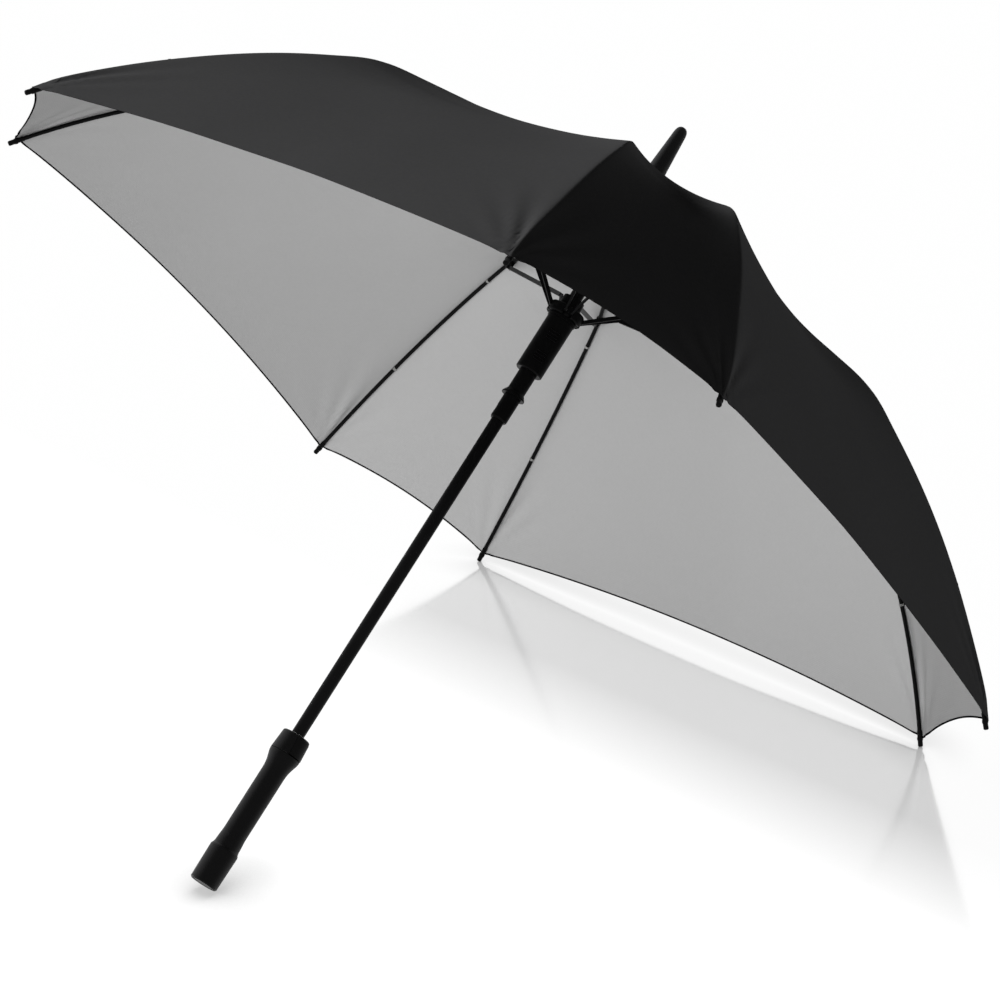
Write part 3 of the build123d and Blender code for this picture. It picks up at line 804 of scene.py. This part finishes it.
def sew_gore(canopy, number, materials):
    """Mesh of one gore: its outside, its inside and the edge between them."""
    gore = Gore(canopy, number)
    bm = bmesh.new()
    uv_layer = bm.loops.layers.uv.new("Cloth")
    bmesh.ops.create_grid(bm, x_segments=gore.columns, y_segments=canopy.rows, size=1.0)
    cell = {}
    for vertex in bm.verts:
        column = round((vertex.co.x + 1) / 2 * gore.columns)
        row = round((vertex.co.y + 1) / 2 * canopy.rows)
        cell[vertex] = (column, row)
        vertex.co = uneven(gore.point(column, row))
    for face in bm.faces:
        for loop in face.loops:
            loop[uv_layer].uv = gore.flat_place(*cell[loop.vert])
    bm.normal_update()
    if sum(face.normal.z for face in bm.faces) < 0:
        bmesh.ops.reverse_faces(bm, faces=bm.faces[:])
        bm.normal_update()
    normals = cloth_normals(gore, cell)

    outside = bm.faces[:]
    area = sum(face.calc_area() for face in outside)
    edge_loop = [edge for edge in bm.edges if edge.is_boundary]
    copied = bmesh.ops.duplicate(bm, geom=outside)
    twin = copied["vert_map"]
    inside = [item for item in copied["geom"] if isinstance(item, bmesh.types.BMFace)]
    for vertex in cell:
        twin[vertex].co -= normals[vertex] * canopy.thickness
        normals[twin[vertex]] = -normals[vertex]
    bmesh.ops.reverse_faces(bm, faces=inside)
    turned_in = {twin[vertex] for vertex, (column, row) in cell.items() if row >= canopy.rows - 1}
    for face in inside:
        face.material_index = HEM if turned_in.issuperset(face.verts) else INSIDE
    rims = set()
    for first, second in [edge.verts for edge in edge_loop]:
        rim = bm.faces.new((first, second, twin[second], twin[first]))
        rim.material_index = HEM
        rims.add(rim)
    bm.normal_update()
    bmesh.ops.recalc_face_normals(bm, faces=bm.faces[:])
    corner_normals = [
        (face.normal if face in rims else normals[loop.vert]).copy()
        for face in bm.faces
        for loop in face.loops
    ]
    piece = new_piece(f"cloth_gore_{number}", bm, materials)
    piece.data.normals_split_custom_set(corner_normals)
    return piece, gore, area


class UMBRELLA_OT_canopy(Operator):
    """Sew the eight gores of the canopy and hang each on its rib"""

    bl_idname = "umbrella.canopy"
    bl_label = "Canopy"

    def execute(self, context):
        canopy = context.scene.umbrella_canopy
        outer, inner = canopy.outside_colour, canopy.inside_colour
        outside = cloth("black_cloth", outer, roughness=0.8, contrast=0.16, specular=0.0)
        inside = cloth("silver_coating", inner, roughness=0.55, contrast=0.06, specular=0.25)
        edging = tinted(outer, DARKER)
        hem = cloth("hem_cloth", edging, roughness=0.8, contrast=0.2, specular=0.0)
        for number in RIB_NUMBERS:
            piece, gore, area = sew_gore(canopy, number, [outside, inside, hem])
            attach(piece, f"rib_{number}")
            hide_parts(f"canopy_{number}")
            across = sum(canopy.tip_radius * math.sin(gore.half_angle(panel)) for panel in (0, 1))
            round(gore.over_rib(), 4)
            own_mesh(piece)
        return {"FINISHED"}


# ------------------------------------------------------------------ frame


def wind(bm, centre, axis, radius, wire):
    """One closed turn of round thread."""
    axis = axis.normalized()
    side = axis.orthogonal().normalized()
    section = Matrix.Translation(centre + side * radius)
    section @= side.cross(axis).to_track_quat("Z", "Y").to_matrix().to_4x4()
    circle = bmesh.ops.create_circle(bm, segments=THREAD_SIDES, radius=wire, matrix=section)
    edges = dict.fromkeys(edge for vertex in circle["verts"] for edge in vertex.link_edges)
    bmesh.ops.spin(
        bm,
        geom=circle["verts"] + list(edges),
        cent=centre,
        axis=axis,
        angle=2 * math.pi,
        steps=THREAD_STEPS,
        use_merge=True,
    )


class UMBRELLA_OT_ties(Operator):
    """Tie the cloth to each rib with thread"""

    bl_idname = "umbrella.ties"
    bl_label = "Thread ties"

    def execute(self, context):
        canopy = context.scene.umbrella_canopy
        settings = context.scene.umbrella_frame
        thread = twisted_thread("tying_thread", canopy.thread_colour)
        stitch = twisted_thread("black_thread", tinted(canopy.outside_colour, DARKER))
        wire = settings.thread_radius
        ridge = canopy.rib_cover + canopy.thickness / 2 - STITCH_SINK
        for number in RIB_NUMBERS:
            azimuth = rib_azimuth(number)
            rounds = bmesh.new()
            stitches = bmesh.new()
            for radius in settings.tie_radii:
                for turn in range(settings.tie_turns):
                    place = radius + turn * wire * TIE_PITCH
                    height, fall = rib_line(canopy, place)
                    centre = direction(azimuth) * place + Vector((0, 0, height))
                    along = direction(azimuth) * math.cos(fall) - Vector((0, 0, math.sin(fall)))
                    lean = direction(azimuth + math.pi / 2) * TIE_LEAN * (-1) ** turn
                    wind(rounds, centre, along + lean, settings.rod_radius + wire, wire)
                    outside = centre + off_rib(azimuth, fall) * ridge
                    wind(stitches, outside, along - lean, STITCH_RADIUS, STITCH_THREAD)
            for name, bm, material in (
                (f"thread_ties_{number}", rounds, thread),
                (f"outer_stitches_{number}", stitches, stitch),
            ):
                bmesh.ops.remove_doubles(bm, verts=bm.verts[:], dist=THREAD_MERGE)
                bmesh.ops.recalc_face_normals(bm, faces=bm.faces[:])
                piece = new_piece(name, bm, [material])
                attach(piece, f"rib_{number}")
        return {"FINISHED"}


class UMBRELLA_OT_rods(Operator):
    """Finish the ribs, brackets, caps, stretchers and shaft"""

    bl_idname = "umbrella.rods"
    bl_label = "Rods and shaft"

    def execute(self, context):
        settings = context.scene.umbrella_frame
        metal = settings.metal_colour
        rod = coated_metal("satin_rod", metal, roughness=0.34, along=(1.0, 1.0, 1.0))
        shaft = coated_metal("satin_shaft", metal, roughness=0.30)
        moulding = moulded("moulded_nylon", settings.plastic_colour, roughness=0.42)
        steel = bare_steel("drawn_steel", settings.steel_colour)
        for kinds, finish in ((("rib", "stretcher"), rod), (("bracket", "tip_cap"), moulding)):
            dress([f"{kind}_{number}" for kind in kinds for number in RIB_NUMBERS], finish)
        dress(["shaft_tube"], shaft)
        dress(["crown_notch", "canopy_washer", "spring_seat"], moulding)
        dress(["drive_plunger", "handle_core"], moulding)
        dress(["crown_wire", "crown_pin", "runner_wire", "drive_pin", "catch_plate"], steel)
        return {"FINISHED"}


class UMBRELLA_OT_springs(Operator):
    """Make the two springs as copies of the CAD coils"""

    bl_idname = "umbrella.springs"
    bl_label = "Springs"

    def execute(self, context):
        settings = context.scene.umbrella_frame
        steel = bare_steel("spring_steel", settings.spring_colour)
        for node, joint in (("opening_spring", "runner_slide"), ("button_spring", "button_slide")):
            bm = bmesh.new()
            bm.from_mesh(frame["nodes"][node].data)
            bmesh.ops.remove_doubles(bm, verts=bm.verts[:], dist=COPY_MERGE)
            piece = new_piece(f"{node}_coil", bm, [steel])
            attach(piece, "frame")
            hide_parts(node)
            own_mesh(piece)
        return {"FINISHED"}


class UMBRELLA_OT_runner(Operator):
    """Finish the runner"""

    bl_idname = "umbrella.runner"
    bl_label = "Runner"

    def execute(self, context):
        settings = context.scene.umbrella_frame
        moulding = moulded("runner_nylon", settings.plastic_colour, roughness=0.36)
        dress(["runner_head", "runner_sleeve"], moulding)
        return {"FINISHED"}


class UMBRELLA_OT_handle(Operator):
    """Finish the handle and its button"""

    bl_idname = "umbrella.handle"
    bl_label = "Handle"

    def execute(self, context):
        settings = context.scene.umbrella_frame
        coating = settings.grip_colour
        grip = moulded("soft_grip", coating, roughness=0.55, grain=0.0001, sheen=0.15)
        button = moulded("button_plastic", settings.plastic_colour, roughness=0.45)
        disc = moulded("end_disc_plastic", settings.disc_colour, roughness=0.45)
        dress(["handle_grip", "handle_collar"], grip)
        dress(["push_button"], button)
        dress(["handle_end_disc"], disc)
        return {"FINISHED"}


class UMBRELLA_OT_ferrule(Operator):
    """Finish the ferrule"""

    bl_idname = "umbrella.ferrule"
    bl_label = "Ferrule"

    def execute(self, context):
        settings = context.scene.umbrella_frame
        ferrule = moulded("ferrule_plastic", settings.ferrule_colour, roughness=0.45)
        dress(["ferrule"], ferrule)
        return {"FINISHED"}


# ------------------------------------------------------------------ stage


def aim_camera(scene, settings):
    """Set up the camera and give its right, upward and backward directions as a matrix."""
    place = Vector(settings.camera_place)
    back = (place - Vector(settings.camera_aim)).normalized()
    right = Vector(settings.camera_up).cross(back).normalized()
    view = Matrix((right, back.cross(right), back)).transposed()
    camera = bpy.data.cameras.new("camera")
    camera.lens = settings.focal_length
    camera.sensor_width = SENSOR_WIDTH
    holder = bpy.data.objects.new("camera", camera)
    holder.matrix_world = Matrix.Translation(place) @ view.to_4x4()
    scene.collection.objects.link(holder)
    scene.camera = holder
    return view


def resting_plane():
    """Level and upward direction of the floor, and where the ribs' ends stand on it."""
    parts = ["handle_grip"] + [f"tip_cap_{number}" for number in RESTING_RIBS]
    up = ROUGHLY_UP.normalized()
    for _ in range(RESTING_ROUNDS):
        foot, *toes = [
            min((vertex.co for vertex in frame["nodes"][part].data.vertices), key=up.dot)
            for part in parts
        ]
        up = (toes[0] - foot).cross(toes[1] - foot).normalized()
        if up.z < 0:
            up.negate()
    return foot.dot(up), up, toes


def floor_material(settings, front, toe):
    """Pale floor, white to the eye, with a painted contact shadow from ambient occlusion and a soft
    mirror image that fades to the front.
    """
    finish = Finish("floor", roughness=0.9, specular=0.0)
    finish.shader.inputs["Base Color"].default_value = (*settings.floor_colour, 1.0)
    geometry = finish.node("ShaderNodeNewGeometry")
    ahead = finish.node("ShaderNodeVectorMath", operation="DOT_PRODUCT")
    finish.link(geometry.outputs["Position"], ahead.inputs[0])
    ahead.inputs[1].default_value = front
    start, end = [toe.dot(front) + settings.image_reach * share for share in IMAGE_FADE]
    fading = finish.between(ahead.outputs["Value"], IMAGE_STRENGTH, 0.0, start, end)

    # painted shadow: ambient occlusion darkens the floor's glow near the umbrella
    occlusion = finish.node("ShaderNodeAmbientOcclusion", Distance=PAINTED_SHADOW_REACH, samples=8)
    painted_shadow_strength = finish.between(occlusion.outputs["AO"], *PAINTED_SHADOW_GLOW, start=0.5)
    glow = finish.node("ShaderNodeEmission", Color=(1, 1, 1, 1))
    finish.link(painted_shadow_strength, glow.inputs["Strength"])
    mirror = finish.node("ShaderNodeBsdfGlossy", Color=(1, 1, 1, 1), Roughness=IMAGE_BLUR)
    image = finish.mix(fading, glow.outputs["Emission"], mirror.outputs["BSDF"])
    seen = finish.calculate("MULTIPLY", finish.in_sight(), SEEN_SHARE)
    face = finish.mix(seen, finish.shader.outputs["BSDF"], image)

    # from below, the floor is clear
    clear = finish.node("ShaderNodeBsdfTransparent")
    sided = finish.mix(geometry.outputs["Backfacing"], face, clear.outputs["BSDF"])
    finish.link(sided, finish.tree.nodes["Material Output"].inputs["Surface"])
    return finish.material


def lay_floor(settings, back):
    """Floor under the umbrella, whose mirror image fades on the side of the camera."""
    level, up, toes = resting_plane()
    front = up.cross(toes[1] - toes[0]).normalized()
    if front.dot(back) < 0:
        front.negate()
    aim = Vector(settings.camera_aim)
    centre = aim + up * (level - aim.dot(up))
    bm = bmesh.new()
    bmesh.ops.create_grid(bm, x_segments=1, y_segments=1, size=settings.floor_size)
    bm.transform(Matrix.Translation(centre) @ up.to_track_quat("Z", "Y").to_matrix().to_4x4())
    floor = new_piece("floor", bm, [floor_material(settings, front, toes[0])], smooth=False)
    floor.visible_shadow = False


def add_lamp(scene, name, towards, level, spread):
    """Distant soft lamp: a white surface square to it renders at the level."""
    lamp = bpy.data.lights.new(name, "SUN")
    lamp.energy = level * math.pi
    lamp.angle = spread
    holder = bpy.data.objects.new(name, lamp)
    holder.rotation_mode = "QUATERNION"
    holder.rotation_quaternion = towards.to_track_quat("Z", "Y")
    holder.visible_glossy = False
    scene.collection.objects.link(holder)


def light_sky(scene, level):
    """Surroundings that are white in sight and light matt surfaces at a lower level."""
    scene.world = bpy.data.worlds.new("studio")
    scene.world.use_nodes = True
    sky = Nodes(scene.world.node_tree)
    background = sky.tree.nodes["Background"]
    background.inputs["Color"].default_value = (1, 1, 1, 1)
    sky.link(sky.between(sky.in_sight(), level, 1.0), background.inputs["Strength"])


class UMBRELLA_OT_stage(Operator):
    """Set up the camera, the floor and the lamps"""

    bl_idname = "umbrella.stage"
    bl_label = "Stage"

    def execute(self, context):
        scene = context.scene
        settings = scene.umbrella_stage
        view = aim_camera(scene, settings)
        lay_floor(settings, back=view.col[2])
        for name, towards, level, spread in LAMPS:
            add_lamp(scene, name, view @ Vector(towards), getattr(settings, level), spread)
        light_sky(scene, settings.sky_level)
        scene.view_settings.view_transform = "Standard"
        return {"FINISHED"}


# ------------------------------------------------------------------ panel and registration


class UMBRELLA_PT_tools(Panel):
    """Lists the umbrella's making steps"""

    bl_label = "Square Stick Umbrella"
    bl_idname = "UMBRELLA_PT_tools"
    bl_space_type = "VIEW_3D"
    bl_region_type = "UI"
    bl_category = "Umbrella"

    def draw(self, context):
        for operator in OPERATORS:
            self.layout.operator(operator.bl_idname)


OPERATORS = (
    UMBRELLA_OT_stage,
    UMBRELLA_OT_canopy,
    UMBRELLA_OT_ties,
    UMBRELLA_OT_rods,
    UMBRELLA_OT_springs,
    UMBRELLA_OT_runner,
    UMBRELLA_OT_handle,
    UMBRELLA_OT_ferrule,
)
SETTINGS = {
    "umbrella_canopy": CanopySettings,
    "umbrella_frame": FrameSettings,
    "umbrella_stage": StageSettings,
}


def register():
    """Add the settings, the operators and the panel."""
    for name, group in SETTINGS.items():
        bpy.utils.register_class(group)
        setattr(bpy.types.Scene, name, PointerProperty(type=group))
    for operator in OPERATORS:
        bpy.utils.register_class(operator)
    bpy.utils.register_class(UMBRELLA_PT_tools)


def unregister():
    """Remove the panel, the operators and the settings."""
    bpy.utils.unregister_class(UMBRELLA_PT_tools)
    for operator in reversed(OPERATORS):
        bpy.utils.unregister_class(operator)
    for name, group in SETTINGS.items():
        delattr(bpy.types.Scene, name)
        bpy.utils.unregister_class(group)


def main():
    """Make every piece."""
    register()
    for operator in OPERATORS:
        module, name = operator.bl_idname.split(".")
        getattr(getattr(bpy.ops, module), name)()


if __name__ == "__main__":
    main()
